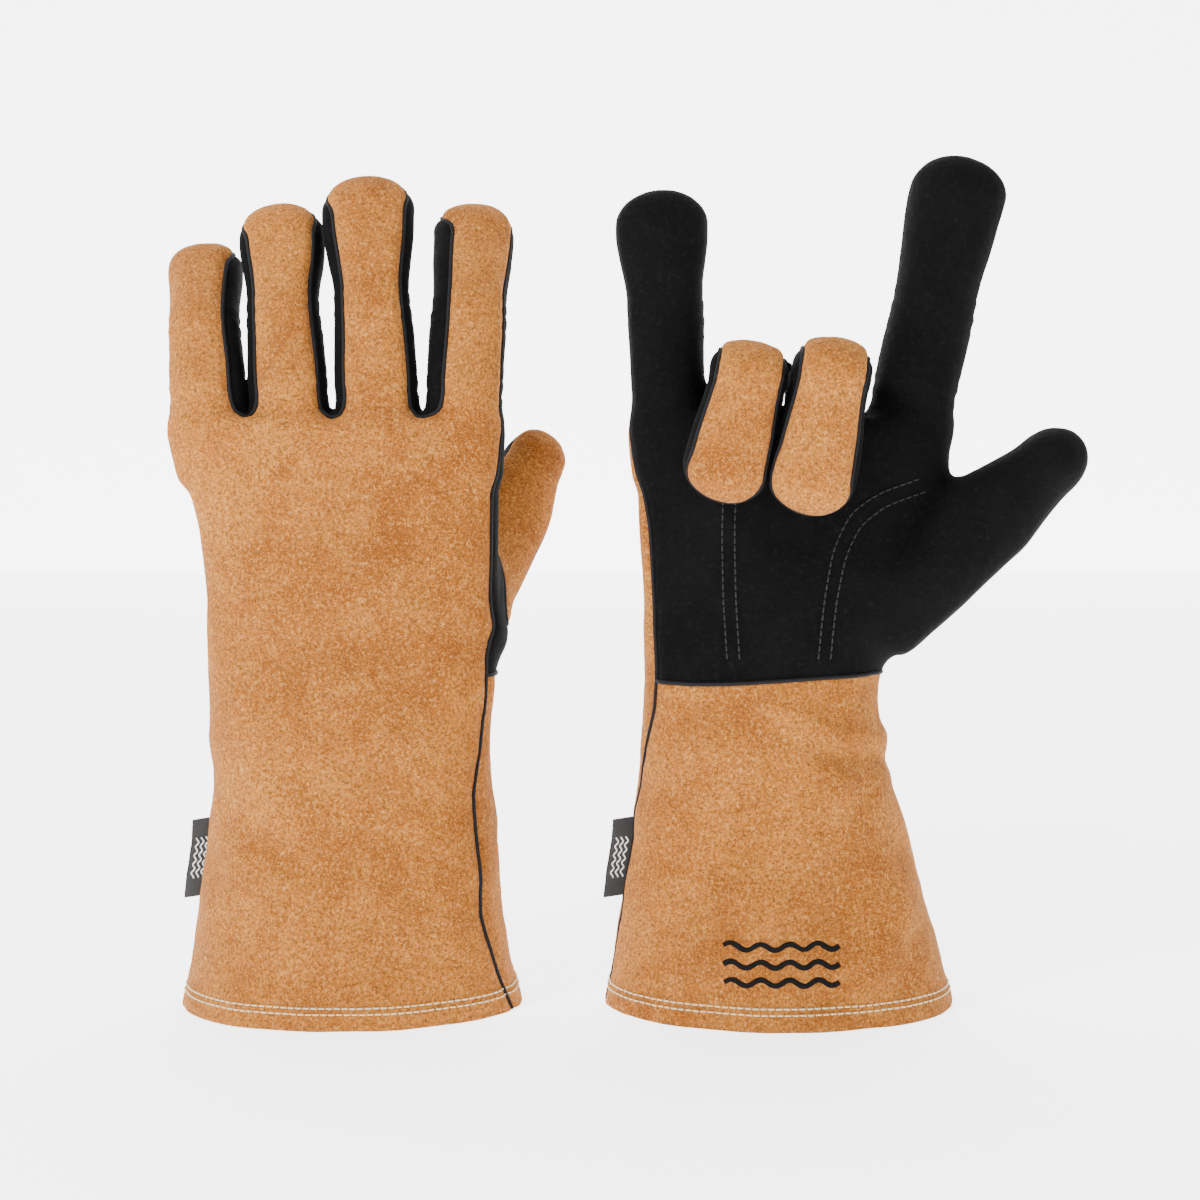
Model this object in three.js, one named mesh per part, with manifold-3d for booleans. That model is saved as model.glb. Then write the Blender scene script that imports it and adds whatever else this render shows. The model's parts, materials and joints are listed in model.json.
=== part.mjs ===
// A pair of gauntlet welding gloves standing on their cuffs: the left one shows its back, the right one its palm.
// Each glove is made of sewn leather panels, welts in the seams and linings, and each finger folds at two places.
// Millimetres, +Z up. The origin is on the floor, in the middle of the pair's bounding box.
import * as THREE from "three";
import { mergeVertices } from "three/addons/utils/BufferGeometryUtils.js";
import Module from "manifold-3d";

const wasm = await Module();
wasm.setup();

// Driving dimensions
const LEATHER = 1.8; // thickness of a leather panel
const LINING = 1.2; // thickness of the lining
const LINING_GAP = 2; // between a panel's inside and the lining
const SEAM = 1.5; // from a seam's middle to a panel's edge
const WELT_RADIUS = 1.0; // piping that lies in a seam
const WRIST = 136; // height of the seam between palm and cuff
const SEAM_STEP = 0.6; // a welt's middle lies this far inside the panels' outside
const HAND_TOP = 238; // where the finger stalls leave the hand
const FOLD_GAP = 1.8; // clearance round each fold
const PALM_SLANT = 5; // how much lower a finger's base ends on its palm side, so that it can fold
const THUMB_HOLE = 1.6; // clearance between the hand and the thumb as it swings
const LABEL = { width: 8.2, height: 33, thickness: 0.9, foot: 45 };

const LEATHER_TAN = { color: 0xc98a45, roughness: 0.95, metalness: 0 };
const LEATHER_BLACK = { color: 0x15151a, roughness: 0.9, metalness: 0 };
const FLEECE = { color: 0xd9d2c3, roughness: 1, metalness: 0 };
const CANVAS = { color: 0xb9ad93, roughness: 1, metalness: 0 };
const WOVEN = { color: 0x0b0b0c, roughness: 0.7, metalness: 0 };

// A hand's stations from hem to knuckles: height, middle, half-width, half-depth and squareness.
const HAND_LEFT = [
  { z: 0, x: 0, a: 70, b: 46, n: 2.1 },
  { z: 26, x: 0, a: 64.5, b: 42, n: 2.1 },
  { z: 70, x: 0.5, a: 59.5, b: 35, n: 2.2 },
  { z: 101, x: 1.2, a: 57, b: 30.5, n: 2.3 },
  { z: 136, x: 1, a: 58, b: 27, n: 2.4 },
  { z: 171, x: 1.3, a: 59.5, b: 23.5, n: 2.5 },
  { z: 202, x: 0.6, a: 61, b: 19.5, n: 2.7 },
  { z: 221, x: -3, a: 64.5, b: 18, n: 2.8 },
  { z: HAND_TOP, x: -5.3, a: 67.5, b: 16.8, n: 3 },
];
const HAND_RIGHT = [
  { z: 0, x: 0, a: 72, b: 46, n: 2.1 },
  { z: 26, x: 0, a: 66.5, b: 42, n: 2.1 },
  { z: 65, x: -4.6, a: 57.5, b: 34.5, n: 2.2 },
  { z: 98, x: -7, a: 51, b: 29.5, n: 2.3 },
  { z: 122, x: -8, a: 47.5, b: 27, n: 2.4 },
  { z: 156, x: -6, a: 50, b: 24, n: 2.5 },
  { z: 195, x: -1.5, a: 57, b: 19.5, n: 2.7 },
  { z: 221, x: 3, a: 62, b: 18, n: 2.8 },
  { z: HAND_TOP, x: 4, a: 65, b: 16.8, n: 3 },
];

// Fingers: root from the hand's middle, lean of the straight finger, lean of its fold, lengths, half-widths,
// half-depth, the angles between which its back is tan, how far its base is bent at rest and when closed, and how
// many times as far the tip bends.
const FINGERS_LEFT = [
  { name: "little", x: -58.2, lean: -4.5, fold: -4.5, base: 30, tip: 44, a: [14, 14, 15.5], b: 12, back: [28, 176], bend: 20, closed: 72, ratio: 1 },
  { name: "ring", x: -25, lean: -4, fold: -4, base: 33, tip: 50, a: [15, 14, 16], b: 12.5, back: [28, 152], bend: 12, closed: 72, ratio: 1 },
  { name: "middle", x: 11.5, lean: -3, fold: -3, base: 35, tip: 56, a: [15.5, 14.5, 16.5], b: 13, back: [26, 154], bend: 8, closed: 72, ratio: 1 },
  { name: "index", x: 47.5, lean: 2.5, fold: 0, base: 34, tip: 53, a: [15, 14.5, 15.5], b: 13, back: [4, 142], bend: 16, closed: 64, ratio: 1 },
];
const FINGERS_RIGHT = [
  { name: "little", x: -46.6, lean: -2.5, fold: -2.5, base: 32, tip: 50, a: [14, 14.5, 16.5], b: 12.5, back: [28, 176], bend: 4, closed: 50, ratio: 1 },
  { name: "ring", x: -15.5, lean: 6, fold: 9.5, base: 34, tip: 52, a: [15, 14.5, 16], b: 12.5, back: [28, 152], bend: 78, closed: 78, ratio: 1.3 },
  { name: "middle", x: 17, lean: 6, fold: 8.5, base: 35, tip: 57, a: [15.5, 14.5, 16.5], b: 12.8, back: [28, 152], bend: 78, closed: 78, ratio: 1.3 },
  { name: "index", x: 54, lean: 11, fold: 11, base: 35, tip: 60, a: [16, 15.5, 17], b: 13, back: [4, 152], bend: 4, closed: 72, ratio: 1 },
];
const THUMB_LEFT = { x: 52, y: -20, z: 172, lean: 23, roll: -12, bend: 40, length: 88, a: [16, 17.5, 13.5], b: 13.5 };
const THUMB_RIGHT = { x: 53, y: -9, z: 176, lean: 47, roll: -20, bend: 10, length: 88, a: [18, 18, 13], b: 13.5 };
const THUMB_BACK = [8, 172];
const THUMB_SWING = [-32, 4]; // the left thumb's travel from rest, in degrees
const THUMB_SWING_RIGHT = [-6, 30]; // the right thumb's
const THUMB_CUTS = 4; // steps at which the swinging thumb is cleared from the hand

const deg = THREE.MathUtils.degToRad;
const root = new THREE.Group();

// ---------- closed plates from a grid of points ----------

// at(u, v, inside) gives a point of the outer face, or of the inner face; the plate closes on itself when it wraps.
function plate(at, across, along, wraps = false) {
  const columns = wraps ? across : across + 1;
  const layer = columns * (along + 1);
  const points = [];
  for (const inside of [false, true])
    for (let j = 0; j <= along; j++)
      for (let i = 0; i < columns; i++) points.push(...at(i / across, j / along, inside).toArray());
  const id = (inside, i, j) => (inside ? layer : 0) + j * columns + (wraps ? i % columns : i);
  const faces = [];
  const quad = (p, q, r, s) => faces.push(p, q, r, p, r, s);
  for (let j = 0; j < along; j++)
    for (let i = 0; i < across; i++) {
      quad(id(false, i, j), id(false, i + 1, j), id(false, i + 1, j + 1), id(false, i, j + 1));
      quad(id(true, i, j), id(true, i, j + 1), id(true, i + 1, j + 1), id(true, i + 1, j));
    }
  for (let i = 0; i < across; i++) {
    quad(id(false, i, 0), id(true, i, 0), id(true, i + 1, 0), id(false, i + 1, 0));
    quad(id(false, i, along), id(false, i + 1, along), id(true, i + 1, along), id(true, i, along));
  }
  for (let j = 0; j < along && !wraps; j++) {
    quad(id(false, 0, j), id(false, 0, j + 1), id(true, 0, j + 1), id(true, 0, j));
    quad(id(false, across, j), id(true, across, j), id(true, across, j + 1), id(false, across, j + 1));
  }
  return facingOut(points, faces);
}

function facingOut(points, faces) {
  const corner = (i) => new THREE.Vector3().fromArray(points, 3 * i);
  let volume = 0;
  for (let i = 0; i < faces.length; i += 3)
    volume += corner(faces[i]).dot(corner(faces[i + 1]).cross(corner(faces[i + 2])));
  if (volume < 0) faces.reverse();
  const geometry = new THREE.BufferGeometry();
  geometry.setAttribute("position", new THREE.Float32BufferAttribute(points, 3));
  return geometry.setIndex(faces);
}

function solidOf(geometry) {
  const merged = mergeVertices(geometry.clone().deleteAttribute("normal"), 1e-3);
  return new wasm.Manifold(
    new wasm.Mesh({
      numProp: 3,
      vertProperties: merged.attributes.position.array,
      triVerts: new Uint32Array(merged.index.array),
    }),
  );
}

// The largest body of a solid, as a geometry.
function geometryOf(solid) {
  const bodies = solid.decompose().sort((p, q) => q.volume() - p.volume());
  const mesh = bodies[0].getMesh();
  const geometry = new THREE.BufferGeometry();
  geometry.setAttribute("position", new THREE.BufferAttribute(new Float32Array(mesh.vertProperties), 3));
  return geometry.setIndex(new THREE.BufferAttribute(new Uint32Array(mesh.triVerts), 1));
}

function mesh(name, geometry, finish) {
  const made = new THREE.Mesh(geometry, new THREE.MeshStandardMaterial(finish));
  made.name = name;
  return made;
}

// ---------- the rounded section that hand and fingers share ----------

const power = (value, exponent) => Math.sign(value) * Math.abs(value) ** exponent;

// Angle 0 is the thumb's side, 90 the back, 180 the little finger's side and 270 the palm.
function onSection(angle, a, b, n) {
  const turn = deg(angle);
  return [a * power(Math.cos(turn), 2 / n), b * power(Math.sin(turn), 2 / n)];
}

// The angle at which the section is a given depth away from its side.
const seamAngle = (depth, b, n) => THREE.MathUtils.radToDeg(Math.asin((depth / b) ** (n / 2)));

function station(stations, z) {
  const above = stations.findIndex((s) => s.z > z);
  const next = above < 0 ? stations.length - 1 : Math.max(1, above);
  const [p, q] = [stations[next - 1], stations[next]];
  const t = THREE.MathUtils.clamp((z - p.z) / (q.z - p.z), 0, 1);
  const mix = (key) => THREE.MathUtils.lerp(p[key], q[key], t);
  return { x: mix("x"), a: mix("a"), b: mix("b"), n: mix("n") };
}

function onHand(stations, angle, z, inset) {
  const s = station(stations, z);
  const [x, y] = onSection(angle, s.a - inset, s.b - inset, s.n);
  return new THREE.Vector3(s.x + x, y, z);
}

// A leather panel of the hand between two side seams, on the back (side 1) or the palm side (side -1).
function handPanel(stations, side, low, high, across, along) {
  return plate(
    (u, v, inside) => {
      const z = THREE.MathUtils.lerp(low, high, v);
      const s = station(stations, z);
      const first = seamAngle(SEAM, s.b, s.n);
      const angle = THREE.MathUtils.lerp(first, 180 - first, u);
      return onHand(stations, side > 0 ? angle : -angle, z, inside ? LEATHER : 0);
    },
    across,
    along,
  );
}

function liningTube(stations, low, high, across, along) {
  const outside = LEATHER + LINING_GAP;
  return plate(
    (u, v, inside) =>
      onHand(stations, 360 * u, THREE.MathUtils.lerp(low, high, v), inside ? outside + LINING : outside),
    across,
    along,
    true,
  );
}

// A cord of piping along a list of points.
function welt(points, steps) {
  const section = new THREE.Shape().absarc(0, 0, WELT_RADIUS, 0, 2 * Math.PI);
  const extrudePath = new THREE.CatmullRomCurve3(points);
  return new THREE.ExtrudeGeometry(section, { steps, curveSegments: 3, bevelEnabled: false, extrudePath });
}

function sideWelt(stations, angle, low, high, steps) {
  const points = [];
  for (let i = 0; i <= steps; i++)
    points.push(onHand(stations, angle, THREE.MathUtils.lerp(low, high, i / steps), SEAM_STEP));
  return welt(points, steps);
}

function wristWelt(stations, steps) {
  const points = [];
  for (let i = 0; i <= steps; i++)
    points.push(onHand(stations, THREE.MathUtils.lerp(-8, -172, i / steps), WRIST, SEAM_STEP));
  return welt(points, steps);
}

// The folded label in the little finger's side seam.
function sideLabel(stations) {
  return plate(
    (u, v, inside) => {
      const z = LABEL.foot + LABEL.height * v;
      const edge = onHand(stations, 180, z, 0);
      const y = (inside ? -1 : 1) * (LABEL.thickness / 2);
      return new THREE.Vector3(edge.x - WELT_RADIUS + SEAM_STEP - 0.4 - LABEL.width * u, y, z);
    },
    1,
    1,
  );
}

// The strip at the foot of the gap between two fingers, from back to palm.
function crotchStrip(stations, x) {
  const half = { width: 4, depth: station(stations, HAND_TOP).b - LEATHER - 2 };
  const sag = 1.5;
  return plate(
    (u, v, inside) => {
      const across = 2 * u - 1;
      const height = HAND_TOP + 1 - sag * across * across - (inside ? LEATHER : 0);
      return new THREE.Vector3(x + half.width * across, half.depth * (2 * v - 1), height);
    },
    4,
    1,
  );
}

// ---------- finger stalls ----------

// Half-width of a stall a share of the way along: root, neck and ball of the tip.
function stallWidth([rootWidth, neck, ball], share) {
  const ease = THREE.MathUtils.smoothstep;
  const t = THREE.MathUtils.clamp(share, 0, 1);
  return t < 0.45 ? rootWidth + (neck - rootWidth) * ease(t, 0, 0.45) : neck + (ball - neck) * ease(t, 0.45, 0.8);
}

// A point of a stall's outside. Past the dome's foot the section shrinks to the tip.
function onStall(spec, angle, s, inset, from, length, reach) {
  const dome = spec.b + 1;
  const foot = reach - dome;
  const share = (from + s) / length;
  const a = stallWidth(spec.a, share) - inset;
  const b = spec.b - inset;
  if (s <= foot) {
    const [x, y] = onSection(angle, a, b, 2.3);
    return new THREE.Vector3(x, y, s);
  }
  const climb = ((s - foot) / dome) * deg(80);
  const [x, y] = onSection(angle, a * Math.cos(climb), b * Math.cos(climb), 2.3);
  return new THREE.Vector3(x, y, foot + (dome - inset) * Math.sin(climb));
}

// One panel of a stall between two angles, from a round foot about its fold to its tip or to the next fold.
function stallPanel(spec, angles, tip, across, along) {
  const length = spec.base + spec.tip;
  const reach = tip ? spec.tip : Infinity;
  return plate(
    (u, v, inside) => {
      const angle = THREE.MathUtils.lerp(angles[0], angles[1], u);
      const y = onSection(angle, spec.a[0], spec.b, 2.3)[1];
      const low = -Math.sqrt(Math.max(0, spec.b ** 2 - y ** 2));
      const high = tip ? spec.tip : baseTop(spec, y);
      const s = THREE.MathUtils.lerp(low, high, v);
      return onStall(spec, angle, s, inside ? LEATHER : 0, tip ? spec.base : 0, length, reach);
    },
    across,
    along,
  );
}

// Where a finger's base ends: hollow behind the next fold's round foot, and lower on the palm side.
function baseTop(spec, y) {
  if (y > 0) return spec.base - Math.sqrt((spec.b + FOLD_GAP) ** 2 - y ** 2);
  return spec.base - spec.b - FOLD_GAP + (PALM_SLANT * y) / spec.b;
}

// A tan back and a black front whose sides reach round to the back seams.
function stallPair(name, spec, tip, along) {
  const [first, last] = spec.back;
  const gap = 3;
  return [
    mesh(name + "_back", stallPanel(spec, [first, last], tip, 5, along), LEATHER_TAN),
    mesh(name + "_front", stallPanel(spec, [last + gap, 360 + first - gap], tip, 8, along), LEATHER_BLACK),
  ];
}

// A hinge is a group that turns about its own X axis; fold tilts that axis against the finger's own lean.
function hinge(name, position, tilt, bend, range) {
  const outer = new THREE.Group();
  outer.position.copy(position);
  outer.rotation.y = deg(tilt);
  const inner = new THREE.Group();
  inner.name = name;
  inner.rotation.x = deg(bend);
  inner.userData = { range, ratio: 1 };
  outer.add(inner);
  return { outer, inner };
}

function addFinger(hand, side, spec, limits) {
  const name = side + "_" + spec.name;
  const away = spec.lean - spec.fold;
  const height = HAND_TOP + spec.b + FOLD_GAP + 0.4 * spec.a[0] * Math.sin(deg(Math.abs(spec.fold)));
  const knuckle = hinge(name + "_base_fold", new THREE.Vector3(spec.x, 0, height), spec.fold, spec.bend, limits);
  const base = new THREE.Group();
  base.rotation.y = deg(away);
  base.add(...stallPair(name + "_base", spec, false, 2));
  knuckle.inner.add(base);
  const middle = hinge(name + "_tip_fold", new THREE.Vector3(0, 0, spec.base), -away, spec.bend * spec.ratio, null);
  middle.inner.userData.ratio = spec.ratio;
  const tip = new THREE.Group();
  tip.rotation.y = deg(away);
  tip.add(...stallPair(name + "_tip", spec, true, 6));
  middle.inner.add(tip);
  base.add(middle.outer);
  hand.add(knuckle.outer);
}

// ---------- the thumb ----------

function thumbPoint(spec, angle, s, inset) {
  const stall = { a: spec.a, b: spec.b };
  return onStall(stall, angle, s, inset, 0, spec.length, spec.length);
}

function thumbPanel(spec, angles, across, along) {
  return plate(
    (u, v, inside) =>
      thumbPoint(spec, THREE.MathUtils.lerp(angles[0], angles[1], u), spec.length * v, inside ? LEATHER : 0),
    across,
    along,
  );
}

function addThumb(hand, side, spec, range) {
  const swing = hinge(side + "_thumb_swing", new THREE.Vector3(spec.x, spec.y, spec.z), spec.lean, spec.bend, range);
  const [first, last] = THUMB_BACK;
  const roll = new THREE.Group();
  roll.rotation.z = deg(spec.roll);
  roll.add(mesh(side + "_thumb_back", thumbPanel(spec, [first, last], 5, 7), LEATHER_TAN));
  roll.add(mesh(side + "_thumb_front", thumbPanel(spec, [last + 4, 356 + first], 6, 7), LEATHER_BLACK));
  swing.inner.add(roll);
  hand.add(swing.outer);
}

// The space that the thumb sweeps, with clearance, to be cut from the hand.
function thumbSweep(spec, range) {
  const filled = plate(
    (u, v, inside) => thumbPoint(spec, 360 * u, spec.length * v, inside ? spec.b - 1 : -THUMB_HOLE),
    12,
    6,
    true,
  );
  const whole = solidOf(filled).hull();
  const steps = Array.from({ length: THUMB_CUTS + 1 }, (_, i) => {
    const angle = spec.bend + THREE.MathUtils.lerp(range[0], range[1], i / THUMB_CUTS);
    const place = new THREE.Matrix4()
      .makeTranslation(spec.x, spec.y, spec.z)
      .multiply(new THREE.Matrix4().makeRotationY(deg(spec.lean)))
      .multiply(new THREE.Matrix4().makeRotationX(deg(angle)))
      .multiply(new THREE.Matrix4().makeRotationZ(deg(spec.roll)));
    return whole.transform(place.elements);
  });
  return wasm.Manifold.union(steps);
}

// ---------- a glove ----------

function glove(side, x, mirrored, hand, fingers, thumb, swing) {
  const group = new THREE.Group();
  group.name = side + "_glove";
  group.position.x = x;
  if (mirrored) group.scale.y = -1;
  const hole = thumbSweep(thumb, swing);
  const cut = (geometry) => geometryOf(solidOf(geometry).subtract(hole));
  const add = (name, geometry, finish) => group.add(mesh(side + "_" + name, geometry, finish));
  add("back_panel", cut(handPanel(hand, 1, 0, HAND_TOP, 10, 11)), LEATHER_TAN);
  add("palm_panel", cut(handPanel(hand, -1, WRIST + SEAM, HAND_TOP, 10, 6)), LEATHER_BLACK);
  add("cuff_front_panel", cut(handPanel(hand, -1, 0, WRIST - SEAM, 10, 6)), LEATHER_TAN);
  add("hand_lining", cut(liningTube(hand, WRIST - 8, HAND_TOP - 4, 18, 6)), FLEECE);
  add("cuff_lining", cut(liningTube(hand, 4, WRIST - 9, 18, 5)), CANVAS);
  add("wrist_welt", wristWelt(hand, 12), LEATHER_BLACK);
  add("little_side_welt", sideWelt(hand, 180, 1, HAND_TOP - 2, 12), LEATHER_BLACK);
  add("thumb_side_welt", sideWelt(hand, 0, 1, WRIST - 6, 8), LEATHER_BLACK);
  add("side_label", sideLabel(hand), WOVEN);
  fingers.slice(1).forEach((spec, i) => {
    const near = fingers[i];
    const middle = (near.x + near.a[0] + spec.x - spec.a[0]) / 2;
    add("fourchette_" + near.name + "_" + spec.name, crotchStrip(hand, middle), LEATHER_BLACK);
  });
  for (const spec of fingers) {
    addFinger(group, side, spec, [-spec.bend, spec.closed - spec.bend]);
  }
  addThumb(group, side, thumb, swing);
  return group;
}

root.add(glove("left", -103.5, true, HAND_LEFT, FINGERS_LEFT, THUMB_LEFT, THUMB_SWING));
root.add(glove("right", 74.5, false, HAND_RIGHT, FINGERS_RIGHT, THUMB_RIGHT, THUMB_SWING_RIGHT));

// Puts the origin at the bottom centre of the whole pair.
const bounds = new THREE.Box3().setFromObject(root, true);
const centre = bounds.getCenter(new THREE.Vector3());
for (const child of root.children) child.position.add(new THREE.Vector3(-centre.x, -centre.y, -bounds.min.z));

export default root;
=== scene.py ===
"""A pair of gauntlet welding gloves standing on their cuffs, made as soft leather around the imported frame.

Each glove is worked out as one smooth body in its own frame, in millimetres: x towards the thumb, y towards the
back of the hand and z up. Its surface is cut along the seams into leather panels, which get a thickness, welts and
stitches. Fingers are made straight, joined across their folds, and only then bent to the pose at rest.
"""
import json
import math

import bpy
import numpy as np
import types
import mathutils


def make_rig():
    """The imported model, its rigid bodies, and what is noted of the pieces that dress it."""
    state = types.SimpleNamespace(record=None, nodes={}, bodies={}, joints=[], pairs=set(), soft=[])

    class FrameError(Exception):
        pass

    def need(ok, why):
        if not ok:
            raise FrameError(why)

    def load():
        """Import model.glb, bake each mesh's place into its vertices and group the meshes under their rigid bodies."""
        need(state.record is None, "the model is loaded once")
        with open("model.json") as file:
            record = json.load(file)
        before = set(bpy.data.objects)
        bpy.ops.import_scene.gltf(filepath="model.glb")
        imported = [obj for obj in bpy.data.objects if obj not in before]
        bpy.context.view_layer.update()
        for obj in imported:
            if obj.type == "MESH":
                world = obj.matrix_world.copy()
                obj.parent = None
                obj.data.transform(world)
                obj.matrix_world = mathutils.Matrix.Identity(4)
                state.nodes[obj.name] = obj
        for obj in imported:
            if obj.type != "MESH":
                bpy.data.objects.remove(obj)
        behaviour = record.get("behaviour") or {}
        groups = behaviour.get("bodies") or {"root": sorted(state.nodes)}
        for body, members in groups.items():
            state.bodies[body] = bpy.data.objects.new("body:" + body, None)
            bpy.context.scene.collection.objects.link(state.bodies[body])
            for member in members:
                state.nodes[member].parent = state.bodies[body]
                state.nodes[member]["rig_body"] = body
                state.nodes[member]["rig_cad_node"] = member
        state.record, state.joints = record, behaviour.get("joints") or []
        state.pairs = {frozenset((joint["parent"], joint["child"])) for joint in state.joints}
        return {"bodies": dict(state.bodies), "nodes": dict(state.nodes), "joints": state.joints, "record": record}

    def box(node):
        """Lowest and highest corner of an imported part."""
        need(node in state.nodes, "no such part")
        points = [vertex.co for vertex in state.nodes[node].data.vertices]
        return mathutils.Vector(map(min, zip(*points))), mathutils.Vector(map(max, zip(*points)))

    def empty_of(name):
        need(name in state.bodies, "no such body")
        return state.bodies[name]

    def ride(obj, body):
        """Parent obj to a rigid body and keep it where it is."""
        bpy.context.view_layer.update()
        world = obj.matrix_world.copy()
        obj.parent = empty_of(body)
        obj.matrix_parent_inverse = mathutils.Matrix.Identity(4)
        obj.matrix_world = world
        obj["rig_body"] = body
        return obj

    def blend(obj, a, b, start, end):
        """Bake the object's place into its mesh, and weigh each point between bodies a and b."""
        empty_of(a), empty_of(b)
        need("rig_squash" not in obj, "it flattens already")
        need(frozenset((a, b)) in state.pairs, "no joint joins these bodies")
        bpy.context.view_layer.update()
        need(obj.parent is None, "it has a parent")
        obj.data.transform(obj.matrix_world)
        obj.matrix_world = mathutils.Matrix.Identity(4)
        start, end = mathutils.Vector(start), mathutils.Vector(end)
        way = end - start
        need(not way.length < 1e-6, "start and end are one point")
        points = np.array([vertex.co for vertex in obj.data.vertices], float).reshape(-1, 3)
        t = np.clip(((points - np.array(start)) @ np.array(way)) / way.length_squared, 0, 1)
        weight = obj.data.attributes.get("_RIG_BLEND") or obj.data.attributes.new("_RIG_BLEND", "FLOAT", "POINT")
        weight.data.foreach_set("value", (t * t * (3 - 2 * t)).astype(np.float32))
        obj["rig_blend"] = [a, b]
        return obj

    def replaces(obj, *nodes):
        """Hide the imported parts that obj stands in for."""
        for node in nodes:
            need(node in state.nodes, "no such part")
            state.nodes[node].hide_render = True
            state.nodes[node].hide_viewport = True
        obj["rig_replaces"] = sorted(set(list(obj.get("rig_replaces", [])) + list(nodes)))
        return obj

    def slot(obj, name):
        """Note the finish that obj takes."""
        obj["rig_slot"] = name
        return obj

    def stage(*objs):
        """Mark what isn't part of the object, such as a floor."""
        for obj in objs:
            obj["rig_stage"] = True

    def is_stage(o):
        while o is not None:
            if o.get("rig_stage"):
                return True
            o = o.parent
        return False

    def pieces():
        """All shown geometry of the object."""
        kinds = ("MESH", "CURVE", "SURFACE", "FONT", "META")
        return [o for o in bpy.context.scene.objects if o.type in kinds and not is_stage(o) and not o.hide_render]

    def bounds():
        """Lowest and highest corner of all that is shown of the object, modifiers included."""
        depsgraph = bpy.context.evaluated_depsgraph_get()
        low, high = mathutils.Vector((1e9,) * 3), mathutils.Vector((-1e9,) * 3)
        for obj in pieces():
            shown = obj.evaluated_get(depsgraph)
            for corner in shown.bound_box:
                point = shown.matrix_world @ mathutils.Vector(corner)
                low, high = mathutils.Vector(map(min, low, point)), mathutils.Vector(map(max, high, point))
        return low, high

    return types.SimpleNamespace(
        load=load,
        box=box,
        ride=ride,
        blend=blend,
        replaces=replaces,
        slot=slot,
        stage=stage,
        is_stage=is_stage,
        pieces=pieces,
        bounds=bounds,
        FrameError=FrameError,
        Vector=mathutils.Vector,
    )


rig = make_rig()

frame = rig.load()
CAD_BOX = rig.bounds()

# ---------- driving dimensions, in millimetres and degrees ----------

CELL = 2.2  # spacing of the grid that the leather's surface is found on
LEATHER = 1.7  # thickness of the leather
LINING = 1.2  # thickness of the lining
LINING_DEPTH = 3.8  # from the leather's outside to the lining
WRIST = 136  # height of the seam between palm and cuff
HAND_TOP = 238  # where the fingers leave the hand
CROTCH = 242.5  # height of the gaps between the fingers
FOLD_GAP = 1.8
ROOT_CUT = -7.5  # a finger's own leather begins this far from its root fold
END_CUT = 0.5  # and its outer part begins this far along its base
ROOT_HEIGHT = 38  # no finger's root reaches higher than this above the hand
FOLD_REACH = 8.5  # half the length over which leather bends at a fold
WELT = 0.85  # radius of the piping in the seams
GROOVE = 0.9  # how far the leather dips at a seam
HEM_ROWS = (6.6, 9.0)  # heights of the two rows of stitches above the hem
STITCH = 3.1  # from one stitch to the next
THREAD = 0.34  # radius of the thread

# Stations of a hand from hem to knuckles: height, middle, half-width, half-depth and squareness.
HANDS = {
    "left": [
        (0, 0, 70, 46, 2.1),
        (26, 0, 64.5, 42, 2.1),
        (70, 0.5, 59.5, 35, 2.2),
        (101, 1.2, 57, 30.5, 2.3),
        (136, 1, 58, 27, 2.4),
        (171, 1.3, 59.5, 23.5, 2.5),
        (202, 0.6, 61, 19.5, 2.7),
        (221, -3, 64.5, 18, 2.8),
        (238, -5.3, 67.5, 16.8, 3),
    ],
    "right": [
        (0, 0, 72, 46, 2.1),
        (26, 0, 66.5, 42, 2.1),
        (65, -4.6, 57.5, 34.5, 2.2),
        (98, -7, 51, 29.5, 2.3),
        (122, -8, 47.5, 27, 2.4),
        (156, -6, 50, 24, 2.5),
        (195, -1.5, 57, 19.5, 2.7),
        (221, 3, 62, 18, 2.8),
        (238, 4, 65, 16.8, 3),
    ],
}

# Fingers: root, lean, lean of the fold, lengths of base and tip, half-widths, half-depth, how far round the two
# sides the tan back reaches (shares of the half-depth), bend of the base at rest, and the tip's bend for each
# degree of the base's.
FINGER_KEYS = ("x", "lean", "fold", "base", "tip", "a", "b", "seams", "bend", "ratio")
FINGERS = {
    "left": {
        "little": (-56.5, -6.0, -4.5, 30, 44, (15.5, 14.5, 15.8), 12, (0.0, 0.80), 20, 1),
        "ring": (-23.5, -5.0, -4, 33, 50, (16, 14.8, 17.6), 12.5, (0.72, 0.60), 12, 1),
        "middle": (12.5, -3.6, -3, 35, 56, (17, 15, 18.6), 13, (0.75, 0.60), 8, 1),
        "index": (48, 2.2, 0, 34, 53, (15.5, 15, 16.8), 13, (0.92, 0.25), 16, 1),
    },
    "right": {
        "little": (-46.6, -2.5, -2.5, 32, 50, (15, 15.5, 18.8), 12.5, (-0.1, 0.60), 4, 1),
        "ring": (-15.5, 6, 9.5, 34, 52, (15, 15, 17), 12.5, (0.55, 0.55), 78, 1.3),
        "middle": (17, 6, 8.5, 35, 57, (15.5, 15, 17.2), 12.8, (0.55, 0.55), 78, 1.3),
        "index": (54, 11, 11, 35, 60, (16.5, 16.5, 19), 13, (0.60, 0.15), 4, 1),
    },
}
THUMB_KEYS = ("x", "y", "z", "lean", "roll", "bend", "length", "a", "b", "seam")
THUMBS = {
    "left": (52, -20, 172, 23, -12, 40, 88, (16, 17.5, 13.5), 13.5, 0.15),
    "right": (53, -9, 176, 47, -20, 10, 88, (20, 19, 13), 13.5, 0.15),
}
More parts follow.
